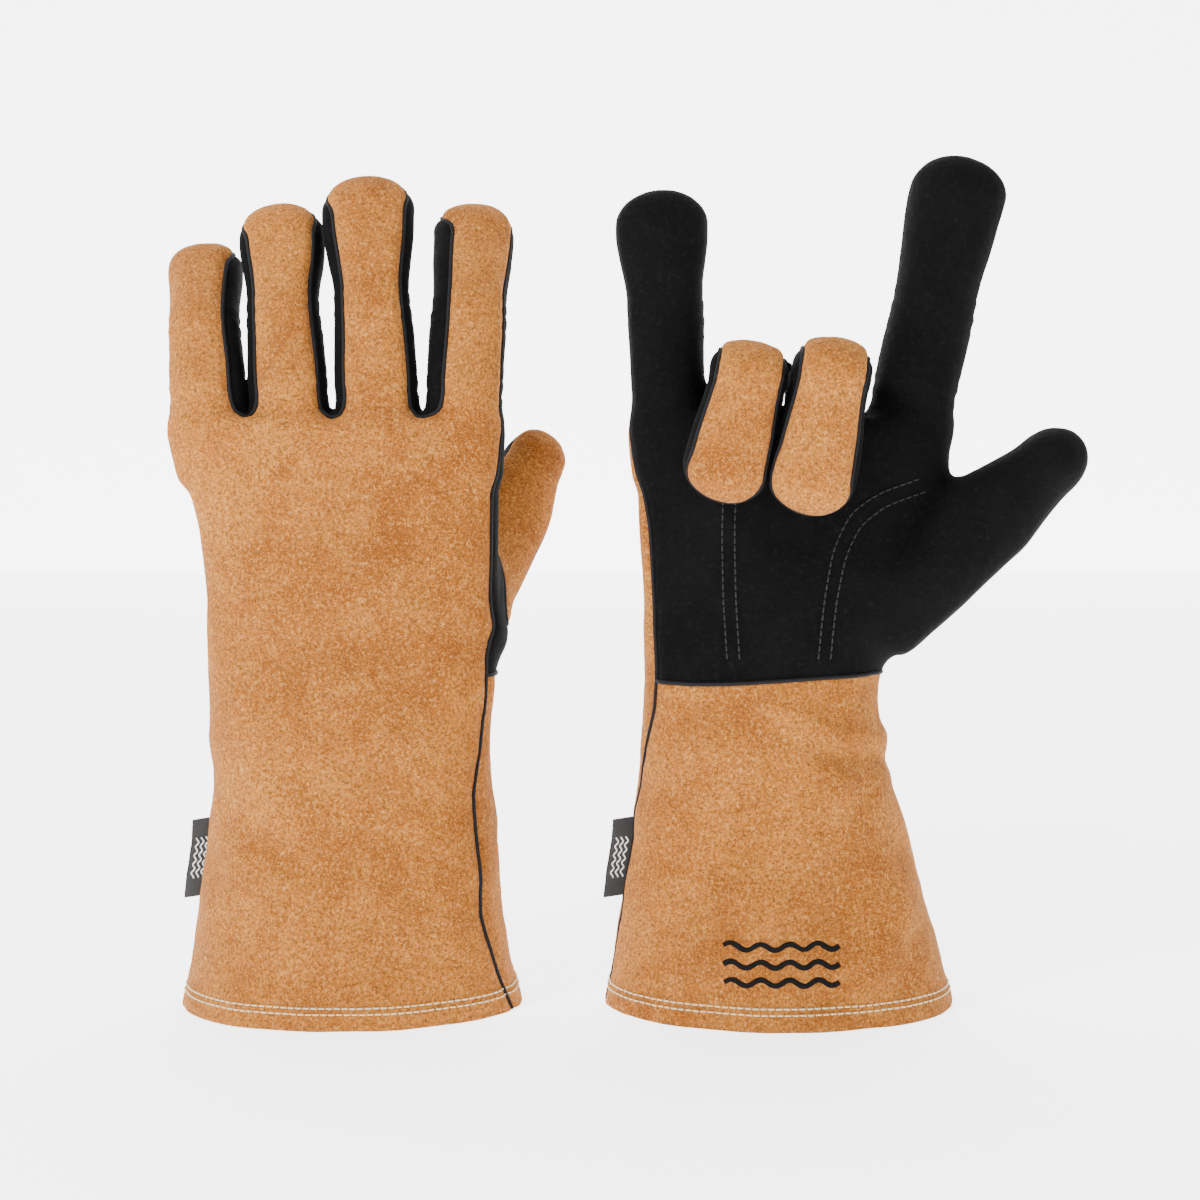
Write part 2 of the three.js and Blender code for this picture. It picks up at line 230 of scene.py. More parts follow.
# How far round the hand's two sides the back reaches at some heights: little finger's side, then the thumb's.
SIDE_SEAMS = {
    "left": [(0, 0.0, 0.30), (40, 0.0, 0.52), (90, 0.0, 0.52), (125, 0.0, 0.36), (215, 0.0, 0.40), (238, 0.0, 0.30)],
    "right": [(0, 0.0, 0.1), (95, -0.1, 0.1), (125, -0.5, 0.1), (200, -0.5, 0.0), (238, -0.2, 0.1)],
}
SECTION = 2.3  # squareness of fingers and thumb


def named(keys, values):
    return dict(zip(keys, values))


def smooth(value, low, high):
    t = np.clip((value - low) / (high - low), 0, 1)
    return t * t * (3 - 2 * t)


def smooth_min(p, q, reach):
    h = np.maximum(reach - np.abs(p - q), 0) / reach
    return np.minimum(p, q) - h * h * reach / 4


def smooth_max(p, q, reach):
    return -smooth_min(-p, -q, reach)


# ---------- noise without tables: sums of turned waves ----------


def waves(p, size, seed, count=7):
    """Smooth bumps of about the given size, from -1 to 1."""
    rng = np.random.default_rng(seed)
    total = np.zeros(len(p))
    for _ in range(count):
        direction = rng.normal(size=3)
        direction /= np.linalg.norm(direction)
        stretch = size * rng.uniform(0.7, 1.5)
        total += np.sin(p @ direction * (2 * math.pi / stretch) + rng.uniform(0, 2 * math.pi))
    return total / math.sqrt(count)


# ---------- the glove as a distance ----------


def rounded(u, y, a, b, n):
    return ((np.abs(u) / a) ** n + (np.abs(y) / b) ** n) ** (1 / n)


class Glove:
    """One glove in its own frame, with straight fingers and its thumb as it is at rest."""

    def __init__(self, side):
        self.side = side
        self.mirror = -1 if side == "left" else 1
        self.fingers = {name: named(FINGER_KEYS, row) for name, row in FINGERS[side].items()}
        for spec in self.fingers.values():
            spec["length"] = spec["base"] + spec["tip"]
            tilt = 0.4 * spec["a"][0] * math.sin(math.radians(abs(spec["fold"])))
            spec["root"] = np.array([spec["x"], 0, HAND_TOP + spec["b"] + FOLD_GAP + tilt])
            lean = math.radians(spec["lean"])
            spec["along"] = np.array([math.sin(lean), 0, math.cos(lean)])
            spec["across"] = np.array([math.cos(lean), 0, -math.sin(lean)])
            fold = math.radians(spec["fold"])
            spec["axis"] = np.array([math.cos(fold), 0, -math.sin(fold)])
            spec["middle"] = spec["root"] + spec["along"] * spec["base"]
        thumb = named(THUMB_KEYS, THUMBS[side])
        lean, bend, roll = (math.radians(thumb[key]) for key in ("lean", "bend", "roll"))
        about_y = np.array([[math.cos(lean), 0, math.sin(lean)], [0, 1, 0], [-math.sin(lean), 0, math.cos(lean)]])
        about_x = np.array([[1, 0, 0], [0, math.cos(bend), -math.sin(bend)], [0, math.sin(bend), math.cos(bend)]])
        about_z = np.array([[math.cos(roll), -math.sin(roll), 0], [math.sin(roll), math.cos(roll), 0], [0, 0, 1]])
        thumb["turn"] = about_y @ about_x @ about_z
        thumb["root"] = np.array([thumb["x"], thumb["y"], thumb["z"]], float)
        self.thumb = thumb
        self.table = self.smoothed_stations()
        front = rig.box(side + "_cuff_front_panel")
        hem_depth = HANDS[side][0][3]
        middle = 500 * (front[0][0] + front[1][0])
        edge = 1000 * front[1][1] - hem_depth if side == "left" else 1000 * front[0][1] + hem_depth
        self.place = np.array([middle, edge, 0])

    def smoothed_stations(self):
        rows = np.array(HANDS[self.side], float)
        heights = np.arange(-12, HAND_TOP + 13, 2.0)
        table = [heights]
        for column in range(1, 5):
            values = np.interp(heights, rows[:, 0], rows[:, column])
            slope = (rows[1, column] - rows[0, column]) / (rows[1, 0] - rows[0, 0])
            values = np.where(heights < 0, rows[0, column] + slope * heights, values)
            for _ in range(3):
                padded = np.pad(values, 4, mode="reflect", reflect_type="odd")
                values = np.convolve(padded, np.ones(9) / 9, mode="valid")
            table.append(values)
        return table

    def station(self, z):
        return [np.interp(z, self.table[0], column) for column in self.table[1:]]

    def world(self, p):
        turned = p * np.array([1, self.mirror, 1])
        return (turned + self.place) / 1000

    def hand(self, p):
        x, y, z = p.T
        middle, a, b, n = self.station(z)
        q = np.maximum(rounded(x - middle, y, a, b, n), 1e-4)
        side = np.hypot(x - middle, y) * (1 - 1 / q)
        return smooth_max(side, z - CROTCH, 9)

    def stall(self, u, y, s, widths, b, length, start):
        share = np.clip(s / length, 0, 1)
        a = np.where(
            share < 0.45,
            widths[0] + (widths[1] - widths[0]) * smooth(share, 0, 0.45),
            widths[1] + (widths[2] - widths[1]) * smooth(share, 0.45, 0.8),
        )
        dome = b + 1.5
        rise = np.maximum(s - (length - dome), 0)
        q = np.maximum(np.sqrt(rounded(u, y, a, b, SECTION) ** 2 + (rise / dome) ** 2), 1e-4)
        d = np.sqrt(u * u + y * y + rise * rise) * (1 - 1 / q)
        return smooth_max(d, start - s, 6)

    def finger(self, p, spec):
        v = p - spec["root"]
        s = v @ spec["along"]
        return self.stall(v @ spec["across"], v[:, 1], s, spec["a"], spec["b"], spec["length"], -34)

    def thumb_local(self, p):
        return (p - self.thumb["root"]) @ self.thumb["turn"]

    def thumb_distance(self, p):
        u, y, s = self.thumb_local(p).T
        thumb = self.thumb
        return self.stall(u, y, s, thumb["a"], thumb["b"], thumb["length"], -22)

    def parts(self, p):
        fingers = np.array([self.finger(p, spec) for spec in self.fingers.values()])
        body = smooth_min(self.hand(p), fingers.min(axis=0), 8)
        return body, fingers, self.thumb_distance(p)

    def distance(self, p, only=None):
        """The whole glove, or the hand with only one of its fingers."""
        if only:
            return smooth_min(self.hand(p), self.finger(p, self.fingers[only]), 8)
        body, _, thumb = self.parts(p)
        return smooth_min(body, thumb, 16)

    def slope(self, p, only=None, step=0.4):
        columns = []
        for axis in np.eye(3) * step:
            columns.append(self.distance(p + axis, only) - self.distance(p - axis, only))
        return np.array(columns).T / (2 * step)

    def seam_height(self, p):
        """Positive on the tan back, negative on palm and cuff front, zero in the seam."""
        x, y, z = p.T
        body, fingers, thumb = self.parts(p)
        middle, a, b, _ = self.station(np.minimum(z, HAND_TOP))
        rows = np.array(SIDE_SEAMS[self.side])
        little = np.interp(z, rows[:, 0], rows[:, 1])
        outer = np.interp(z, rows[:, 0], rows[:, 2])
        share = smooth(x - middle, -0.5 * a, 0.5 * a)
        on_hand = y - b * (little + (outer - little) * share)
        weights = np.exp(-np.clip(fingers - fingers.min(axis=0), 0, 60) / 3)
        weights /= weights.sum(axis=0)
        on_finger = np.zeros(len(p))
        for weight, spec in zip(weights, self.fingers.values()):
            v = p - spec["root"]
            s = v @ spec["along"]
            first, last = spec["seams"]
            reach = first + (last - first) * smooth(v @ spec["across"] / spec["a"][0], -0.6, 0.6)
            reach = 0.1 + (reach - 0.1) * (1 - smooth(s, spec["length"] - 17, spec["length"] - 3))
            on_finger += weight * (y - reach * spec["b"])
        share = smooth(z, HAND_TOP - 7, HAND_TOP + 7)
        height = on_hand * (1 - share) + on_finger * share
        local = self.thumb_local(p)
        on_thumb = local[:, 1] - self.thumb["seam"] * self.thumb["b"]
        share = smooth(body - thumb, -7, 9)
        return height * (1 - share) + on_thumb * share

    def wrinkles(self, p):
        """How far the leather stands proud of its plain shape."""
        x, y, z = p.T
        soft = 0.9 * waves(p, 62, 11) + 0.45 * waves(p * (1, 0.6, 1), 27, 12) + 0.12 * waves(p, 9, 13)
        cuff = 1 - smooth(z, 120, 175)
        total = soft * (0.45 + 0.55 * cuff)
        for cx, cz, lean, length, width, depth in FOLDS[self.side]:
            along, across = math.cos(math.radians(lean)), math.sin(math.radians(lean))
            u = (x - cx) * along + (z - cz) * across
            v = -(x - cx) * across + (z - cz) * along - 0.004 * u * u
            total += depth * np.exp(-((u / length) ** 2) - (v / width) ** 2) * (y * FOLD_SIDE[self.side] > 0)
        for spec in self.fingers.values():
            v = p - spec["root"]
            s = v @ spec["along"]
            near = np.exp(-np.clip(self.finger(p, spec), 0, 40) / 4)
            for fold in (0, spec["base"]):
                crease = np.cos((s - fold) * (2 * math.pi / 6.5)) * np.exp(-(((s - fold) / 8) ** 2))
                total -= 0.32 * near * crease * (0.6 + 0.4 * (y < 0))
        return total

    def groove(self, p, normal):
        height = self.seam_height(p)
        step = 0.5
        slope = [self.seam_height(p + axis) - self.seam_height(p - axis) for axis in np.eye(3) * step]
        slope = np.array(slope).T / (2 * step)
        slope -= normal * np.sum(slope * normal, axis=1)[:, None]
        away = np.abs(height) / np.maximum(np.linalg.norm(slope, axis=1), 0.25)
        puff = 0.35 * np.exp(-(((away - 6) / 3.5) ** 2))
        return puff - GROOVE * np.exp(-((away / 1.7) ** 2))

    def normal(self, p, only=None):
        slope = self.slope(p, only)
        return slope / np.maximum(np.linalg.norm(slope, axis=1), 1e-9)[:, None]

    def dressed(self, p, only=None):
        """Points of the plain shape moved to the real surface of the leather, with the way out of it."""
        normal = self.normal(p, only)
        moved = p + normal * (self.wrinkles(p) + self.groove(p, normal))[:, None]
        return moved, normal


# Soft folds: middle x and z, lean, half-length, half-width and height, on the side that faces the camera.
FOLDS = {
    "left": [
        (-30, 120, 24, 30, 6, 1.8),
        (18, 96, -30, 28, 7, -1.8),
        (10, 152, 10, 36, 6, -1.5),
        (30, 62, 38, 26, 8, 1.6),
        (-20, 70, -20, 30, 8, -1.4),
        (-18, 200, 60, 24, 6, -0.9),
        (24, 196, -62, 24, 6, -0.9),
    ],
    "right": [
        (6, 60, 58, 44, 6, 2.4),
        (-16, 72, 55, 36, 6, -2.2),
        (24, 56, 62, 36, 6, -2.4),
        (36, 84, 70, 26, 5, 2.0),
        (-34, 96, 18, 22, 5, -1.8),
        (24, 116, -14, 30, 5, 2.4),
        (26, 106, -16, 26, 4, -2.2),
        (44, 34, 66, 26, 7, 2.0),
        (4, 172, 50, 24, 5, 1.2),
    ],
}
FOLD_SIDE = {"left": 1, "right": -1}

# ---------- a triangle mesh that can be cut along smooth lines ----------


def cell_surface(distance, low, high, cell):
    low, high = np.array(low, float), np.array(high, float)
    counts = np.ceil((high - low) / cell).astype(int) + 1
    axes = [low[k] + cell * np.arange(counts[k]) for k in range(3)]
    grid = np.stack(np.meshgrid(*axes, indexing="ij"), -1)
    values = distance(grid.reshape(-1, 3)).reshape(counts)
    inside = values < 0
    corners = [(i, j, k) for i in (0, 1) for j in (0, 1) for k in (0, 1)]
    nx, ny, nz = counts - 1
    count = sum(inside[i : nx + i, j : ny + j, k : nz + k].astype(int) for i, j, k in corners)
    mixed = (count > 0) & (count < 8)
    cells = np.argwhere(mixed)
    index = np.full(mixed.shape, -1)
    index[mixed] = np.arange(len(cells))
    total, hits = np.zeros((len(cells), 3)), np.zeros(len(cells))
    for first in corners:
        for axis in range(3):
            if first[axis]:
                continue
            last = tuple(1 if k == axis else first[k] for k in range(3))
            p = values[tuple((cells + first).T)]
            q = values[tuple((cells + last).T)]
            crossing = (p < 0) != (q < 0)
            share = np.where(crossing, p / np.where(crossing, p - q, 1), 0)
            point = np.array(first) + share[:, None] * (np.array(last) - np.array(first))
            total += point * crossing[:, None]
            hits += crossing
    points = low + cell * (cells + total / hits[:, None])
    faces = []
    for axis in range(3):
        second, third = (axis + 1) % 3, (axis + 2) % 3
        ahead = np.take(inside, range(1, counts[axis]), axis)
        behind = np.take(inside, range(0, counts[axis] - 1), axis)
        edges = np.argwhere(ahead != behind)
        edges = edges[(edges[:, second] > 0) & (edges[:, third] > 0)]
        edges = edges[(edges[:, second] < counts[second] - 1) & (edges[:, third] < counts[third] - 1)]
        ring = []
        for move_second, move_third in ((-1, -1), (0, -1), (0, 0), (-1, 0)):
            at = edges.copy()
            at[:, second] += move_second
            at[:, third] += move_third
            ring.append(index[tuple(at.T)])
        quads = np.array(ring).T
        outward = behind[tuple(edges.T)]
        quads = np.where(outward[:, None], quads, quads[:, ::-1])
        faces.append(quads)
    quads = np.concatenate(faces)
    first = np.linalg.norm(points[quads[:, 0]] - points[quads[:, 2]], axis=1)
    second = np.linalg.norm(points[quads[:, 1]] - points[quads[:, 3]], axis=1)
    turned = np.where((first > second)[:, None], np.roll(quads, -1, axis=1), quads)
    return points, np.concatenate([turned[:, [0, 1, 2]], turned[:, [0, 2, 3]]])


class Skin:
    """Triangles with marks that say on which side of each cut they lie."""

    def __init__(self, points, faces):
        self.points, self.faces = points, faces
        self.locked = np.zeros(len(points), bool)
        self.marks = {}

    def keep(self, chosen):
        self.faces = self.faces[chosen]
        self.marks = {name: mark[chosen] for name, mark in self.marks.items()}

    def split(self, name, field):
        values = field(self.points)
        edges = np.concatenate([self.faces[:, [0, 1]], self.faces[:, [1, 2]], self.faces[:, [2, 0]]])
        edges = np.unique(np.sort(edges, axis=1), axis=0)
        edges = edges[(values[edges[:, 0]] < 0) != (values[edges[:, 1]] < 0)]
        p, q = values[edges[:, 0]], values[edges[:, 1]]
        share = p / (p - q)
        crossing = self.points[edges[:, 0]] + share[:, None] * (self.points[edges[:, 1]] - self.points[edges[:, 0]])
        on_line = np.zeros(len(values), bool)
        for end, near in ((0, share < 0.28), (1, share > 0.72)):
            vertex = edges[near, end]
            free = ~self.locked[vertex]
            self.points[vertex[free]] = crossing[near][free]
            on_line[vertex[free]] = True
        side = np.where(on_line, 0, np.where(values < 0, -1, 1))
        edges = edges[side[edges[:, 0]] * side[edges[:, 1]] < 0]
        p, q = values[edges[:, 0]], values[edges[:, 1]]
        share = (p / (p - q))[:, None]
        added = self.points[edges[:, 0]] * (1 - share) + self.points[edges[:, 1]] * share
        total = len(self.points)
        keys = edges[:, 0].astype(np.int64) * total + edges[:, 1]
        order = np.argsort(keys)
        keys = keys[order]

        def middle(u, v):
            key = np.minimum(u, v).astype(np.int64) * total + np.maximum(u, v)
            return total + order[np.searchsorted(keys, key)]

        signs = side[self.faces]
        source = np.arange(len(self.faces))
        both = (signs.min(axis=1) < 0) & (signs.max(axis=1) > 0)
        through = both & (signs == 0).any(axis=1)
        across = both & ~through
        faces, origin, sides = [self.faces[~both]], [source[~both]], [signs[~both].sum(axis=1) > 0]
        turn = np.argmax(signs[through] == 0, axis=1)
        tri = np.take_along_axis(self.faces[through], (turn[:, None] + np.arange(3)) % 3, axis=1)
        if len(tri):
            cut = middle(tri[:, 1], tri[:, 2])
            for made, owner in (((0, 1), 1), ((0, 2), 2)):
                rows = (tri[:, 0], tri[:, 1], cut) if owner == 1 else (tri[:, 0], cut, tri[:, 2])
                faces.append(np.array(rows).T)
                origin.append(source[through])
                sides.append(side[tri[:, owner]] > 0)
        lone = signs[across]
        lone = np.argmax(lone == -np.sign(lone.sum(axis=1))[:, None], axis=1)
        tri = np.take_along_axis(self.faces[across], (lone[:, None] + np.arange(3)) % 3, axis=1)
        if len(tri):
            first, second = middle(tri[:, 0], tri[:, 1]), middle(tri[:, 0], tri[:, 2])
            for rows, owner in (
                ((tri[:, 0], first, second), 0),
                ((first, tri[:, 1], tri[:, 2]), 1),
                ((first, tri[:, 2], second), 1),
            ):
                faces.append(np.array(rows).T)
                origin.append(source[across])
                sides.append(side[tri[:, owner]] > 0)
        origin = np.concatenate(origin)
        self.faces = np.concatenate(faces)
        self.marks = {key: mark[origin] for key, mark in self.marks.items()}
        self.marks[name] = np.concatenate(sides)
        self.points = np.concatenate([self.points, added])
        self.locked = np.concatenate([self.locked | on_line, np.ones(len(added), bool)])


def border_chains(faces, chosen):
    """Ordered vertex chains along the edges where a chosen face meets another face."""
    edges = np.concatenate([faces[:, [0, 1]], faces[:, [1, 2]], faces[:, [2, 0]]])
    owner = np.tile(np.arange(len(faces)), 3)
    key = np.sort(edges, axis=1)
    order = np.lexsort((key[:, 1], key[:, 0]))
    key, owner = key[order], owner[order]
    same = np.all(key[1:] == key[:-1], axis=1)
    pairs = np.flatnonzero(same & (chosen[owner[1:]] != chosen[owner[:-1]]))
    links = {}
    for u, v in key[pairs]:
        links.setdefault(int(u), []).append(int(v))
        links.setdefault(int(v), []).append(int(u))
    chains = []
    ends = sorted(v for v, near in links.items() if len(near) == 1) + sorted(links)
    for start in ends:
        while links.get(start):
            chain = [start]
            while links.get(chain[-1]):
                following = links[chain[-1]].pop()
                links[following].remove(chain[-1])
                chain.append(following)
            chains.append(chain)
    return [chain for chain in chains if len(chain) > 3]


# ---------- materials ----------


class Nodes:
    def __init__(self, name, roughness, sheen=0.0, sheen_tint=(1, 1, 1), specular=0.5):
        self.material = bpy.data.materials.new(name)
        self.material.use_nodes = True
        self.tree = self.material.node_tree
        self.shader = self.tree.nodes["Principled BSDF"]
        self.shader.inputs["Roughness"].default_value = roughness
        self.shader.inputs["Sheen Weight"].default_value = sheen
        self.shader.inputs["Sheen Roughness"].default_value = 0.45
        self.shader.inputs["Sheen Tint"].default_value = (*sheen_tint, 1)
        self.shader.inputs["Specular IOR Level"].default_value = specular
        self.place = self.add("ShaderNodeTexCoord").outputs["Object"]

    def add(self, kind, **settings):
        node = self.tree.nodes.new(kind)
        for key, value in settings.items():
            setattr(node, key, value)
        return node

    def join(self, source, target):
        self.tree.links.new(source, target)

    def stretched(self, scale):
        mapping = self.add("ShaderNodeMapping")
        mapping.inputs["Scale"].default_value = scale
        self.join(self.place, mapping.inputs["Vector"])
        return mapping.outputs["Vector"]

    def noise(self, scale, detail=3.0, rough=0.55, distortion=0.0, place=None):
        node = self.add("ShaderNodeTexNoise")
        node.inputs["Scale"].default_value = scale
        node.inputs["Detail"].default_value = detail
        node.inputs["Roughness"].default_value = rough
        node.inputs["Distortion"].default_value = distortion
        self.join(place or self.place, node.inputs["Vector"])
        return node.outputs["Fac"]

    def math(self, operation, first, second):
        node = self.add("ShaderNodeMath", operation=operation)
        for socket, value in zip(node.inputs, (first, second)):
            if isinstance(value, (int, float)):
                socket.default_value = value
            else:
                self.join(value, socket)
        return node.outputs[0]

    def spread(self, value, low, high, to_low=0.0, to_high=1.0):
        node = self.add("ShaderNodeMapRange", interpolation_type="SMOOTHSTEP")
        self.join(value, node.inputs["Value"])
        for key, number in (("From Min", low), ("From Max", high), ("To Min", to_low), ("To Max", to_high)):
            node.inputs[key].default_value = number
        return node.outputs["Result"]

    def mix(self, share, first, second, blend="MIX"):
        node = self.add("ShaderNodeMix", data_type="RGBA", blend_type=blend)
        colours = [socket for socket in node.inputs if socket.type == "RGBA"]
        for socket, value in zip(colours, (first, second)):
            if isinstance(value, tuple):
                socket.default_value = (*value, 1)
            else:
                self.join(value, socket)
        factor = node.inputs[0]
        if isinstance(share, (int, float)):
            factor.default_value = share
        else:
            self.join(share, factor)
        return [socket for socket in node.outputs if socket.type == "RGBA"][0]

    def colour(self, source):
        self.join(source, self.shader.inputs["Base Color"])

    def bump(self, *layers):
        normal = None
        for height, strength, distance in layers:
            node = self.add("ShaderNodeBump")
            node.inputs["Strength"].default_value = strength
            node.inputs["Distance"].default_value = distance
            self.join(height, node.inputs["Height"])
            if normal is not None:
                self.join(normal, node.inputs["Normal"])
            normal = node.outputs["Normal"]
        self.join(normal, self.shader.inputs["Normal"])


def tan_suede():
    m = Nodes("tan_suede", 0.95, sheen=0.1, sheen_tint=(1, 0.8, 0.55), specular=0.08)
    clouds = m.spread(m.noise(18, 4, 0.6, 0.4), 0.34, 0.66)
    streaks = m.spread(m.noise(48, 4, 0.65, 1.0), 0.36, 0.68)
    nap = m.noise(820, 3, 0.7, 0.3)
    fibres = m.noise(1900, 2, 0.7)
    base = m.mix(clouds, (0.42, 0.138, 0.018), (0.27, 0.072, 0.007))
    base = m.mix(m.math("MULTIPLY", streaks, 0.5), base, (0.54, 0.21, 0.036))
    base = m.mix(m.math("MULTIPLY", m.spread(nap, 0.55, 0.33), 0.85), base, (0.15, 0.050, 0.010))
    base = m.mix(m.math("MULTIPLY", m.spread(nap, 0.52, 0.72), 0.5), base, (0.80, 0.42, 0.12))
    base = m.mix(m.math("MULTIPLY", m.spread(fibres, 0.50, 0.72), 0.3), base, (0.78, 0.42, 0.13))
    base = m.mix(m.math("MULTIPLY", m.spread(fibres, 0.50, 0.30), 0.6), base, (0.13, 0.045, 0.009))
    m.colour(base)
    m.bump((m.noise(110, 3, 0.6), 0.5, 0.0016), (nap, 1.0, 0.0012), (fibres, 0.6, 0.0004))
    return m.material


def black_suede():
    m = Nodes("black_suede", 0.9, specular=0.1)
    nap = m.noise(520, 4, 0.75, 0.5)
    clouds = m.spread(m.noise(30, 4, 0.6, 0.5), 0.35, 0.7)
    base = m.mix(clouds, (0.00081, 0.00081, 0.0009), (0.002025, 0.002025, 0.00216))
    base = m.mix(m.math("MULTIPLY", m.spread(nap, 0.52, 0.72), 0.7), base, (0.0072, 0.0072, 0.00765))
    m.colour(base)
    m.bump((m.noise(110, 3, 0.6), 0.4, 0.0014), (nap, 0.8, 0.0008))
    return m.material


def piping():
    m = Nodes("piping", 0.75, specular=0.15)
    grain = m.noise(900, 3, 0.6)
    m.colour(m.mix(grain, (0.003, 0.003, 0.004), (0.012, 0.012, 0.014)))
    m.bump((grain, 0.4, 0.0003))
    return m.material


def fleece():
    m = Nodes("fleece", 1.0, sheen=0.4, specular=0.1)
    tufts = m.noise(420, 4, 0.75, 0.6)
    m.colour(m.mix(m.spread(tufts, 0.35, 0.7), (0.42, 0.38, 0.31), (0.80, 0.76, 0.68)))
    m.bump((tufts, 1.0, 0.0014))
    return m.material


def woven(name, dark, light, threads, rough, specular):
    """Plain weave: two sets of round threads that pass over and under each other."""
    m = Nodes(name, rough, specular=specular)
    split = m.add("ShaderNodeSeparateXYZ")
    m.join(m.place, split.inputs[0])
    turn = 2 * math.pi * threads
    warp = m.math("SINE", m.math("MULTIPLY", m.math("ADD", split.outputs["X"], split.outputs["Y"]), turn), 0)
    weft = m.math("SINE", m.math("MULTIPLY", split.outputs["Z"], turn), 0)
    height = m.math("MULTIPLY", warp, weft)
    m.colour(m.mix(m.spread(height, -1, 1), dark, light))
    m.bump((height, 0.6, 0.0002))
    return m.material


def thread(name, dark, light, specular=0.3):
    m = Nodes(name, 0.7, specular=specular)
    twist = m.noise(2500, 2, 0.5)
    m.colour(m.mix(twist, dark, light))
    m.bump((twist, 0.4, 0.0002))
    return m.material


MATERIALS = {
    "tan": (tan_suede(), "tan_suede"),
    "black": (black_suede(), "black_suede"),
    "piping": (piping(), "black_suede"),
    "fleece": (fleece(), "fleece_lining"),
    "canvas": (woven("canvas", (0.30, 0.25, 0.17), (0.58, 0.51, 0.39), 900, 0.95, 0.2), "canvas_lining"),
    "label": (woven("label_satin", (0.004, 0.004, 0.005), (0.016, 0.016, 0.018), 2200, 0.5, 0.5), "woven_label"),
    "white_thread": (thread("white_thread", (0.55, 0.55, 0.53), (0.85, 0.85, 0.83)), "cream_thread"),
    "cream_thread": (thread("cream_thread", (0.50, 0.38, 0.20), (0.83, 0.70, 0.47)), "cream_thread"),
    "black_thread": (thread("black_thread", (0.004, 0.004, 0.005), (0.020, 0.020, 0.023)), "cream_thread"),
    "print": (thread("print_ink", (0.002, 0.002, 0.002), (0.009, 0.009, 0.009), 0.05), "black_suede"),
}


# ---------- pieces ----------


def piece(name, finish, points, faces, flat_angle=50):
    """A mesh object from world points, in metres, and faces of any size."""
    mesh = bpy.data.meshes.new(name)
    mesh.from_pydata(points.tolist(), [], [list(map(int, face)) for face in faces])
    mesh.update()
    mesh.shade_smooth()
    mesh.set_sharp_from_angle(angle=math.radians(flat_angle))
    made = bpy.data.objects.new(name, mesh)
    bpy.context.scene.collection.objects.link(made)
    material, slot = MATERIALS[finish]
    mesh.materials.append(material)
    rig.slot(made, slot)
    return made


def rim_edges(faces):
    """Edges with one face only, in that face's direction."""
    edges = np.concatenate([faces[:, [0, 1]], faces[:, [1, 2]], faces[:, [2, 0]]])
    key = np.sort(edges, axis=1)
    _, index, count = np.unique(key, axis=0, return_index=True, return_counts=True)
    return edges[index[count == 1]]


def shell(points, normals, faces, thickness):
    """A closed sheet: its outside, its inside and the rims between them."""
    used, faces = np.unique(faces, return_inverse=True)
    faces = faces.reshape(-1, 3)
    outer = points[used]
    inner = points[used] - normals[used] * thickness
    rim = rim_edges(faces)
    count = len(used)
    rims = np.array([rim[:, 1], rim[:, 0], rim[:, 0] + count, rim[:, 1] + count]).T
    return np.concatenate([outer, inner]), [*faces, *(faces[:, ::-1] + count), *rims]


def tube(path, normals, radius, sides, flat=1.0):
    """A round cord along a path, with closed ends; flat squeezes it towards the surface."""
    path = np.asarray(path, float)
    along = np.gradient(path, axis=0)
    along /= np.maximum(np.linalg.norm(along, axis=1), 1e-9)[:, None]
    up = normals - along * np.sum(normals * along, axis=1)[:, None]
    up /= np.maximum(np.linalg.norm(up, axis=1), 1e-9)[:, None]
    across = np.cross(along, up)
    turns = np.arange(sides) * (2 * math.pi / sides)
    rings = []
    for turn in turns:
        rings.append(path + radius * (across * math.cos(turn) + up * (flat * math.sin(turn))))
    points = np.stack(rings, axis=1).reshape(-1, 3)
    faces = []
    for i in range(len(path) - 1):
        for j in range(sides):
            following = (j + 1) % sides
            low, high = i * sides, (i + 1) * sides
            faces.append((low + j, low + following, high + following, high + j))
    faces.append(tuple(range(sides))[::-1])
    faces.append(tuple(range((len(path) - 1) * sides, len(path) * sides)))
    return points, faces


def gathered(parts):
    points, faces, offset = [], [], 0
    for part_points, part_faces in parts:
        points.append(part_points)
        faces += [tuple(index + offset for index in face) for face in part_faces]
        offset += len(part_points)
    return np.concatenate(points), faces


def resampled(path, spacing):
    path = np.asarray(path, float)
    steps = np.linalg.norm(np.diff(path, axis=0), axis=1)
    length = np.concatenate([[0], np.cumsum(steps)])
    count = max(3, int(round(length[-1] / spacing)) + 1)
    at = np.linspace(0, length[-1], count)
    return np.array([np.interp(at, length, path[:, k]) for k in range(3)]).T


def evened(path, rounds):
    path = np.array(path, float)
    for _ in range(rounds):
        path[1:-1] = 0.5 * path[1:-1] + 0.25 * (path[:-2] + path[2:])
    return path


def turned(points, pivot, axis, angles):
    """Rotates each point about the axis through pivot, by its own angle."""
    v = points - pivot
    cos, sin = np.cos(angles)[:, None], np.sin(angles)[:, None]
    return pivot + v * cos + np.cross(axis, v) * sin + axis * ((v @ axis)[:, None] * (1 - cos))


def crossing(distance, start, direction, reach, steps=60):
    """The first point where a ray from outside meets the surface."""
    at = np.zeros(len(start))
    found = np.zeros(len(start), bool)
    step = reach / steps
    for _ in range(steps):
        ahead = distance(start + direction * (at + step)[:, None]) < 0
        found |= ahead
        at = np.where(found, at, at + step)
    low, high = at, at + step
    for _ in range(12):
        middle = (low + high) / 2
        inside = distance(start + direction * middle[:, None]) < 0
        low, high = np.where(inside, low, middle), np.where(inside, middle, high)
    return start + direction * low[:, None]


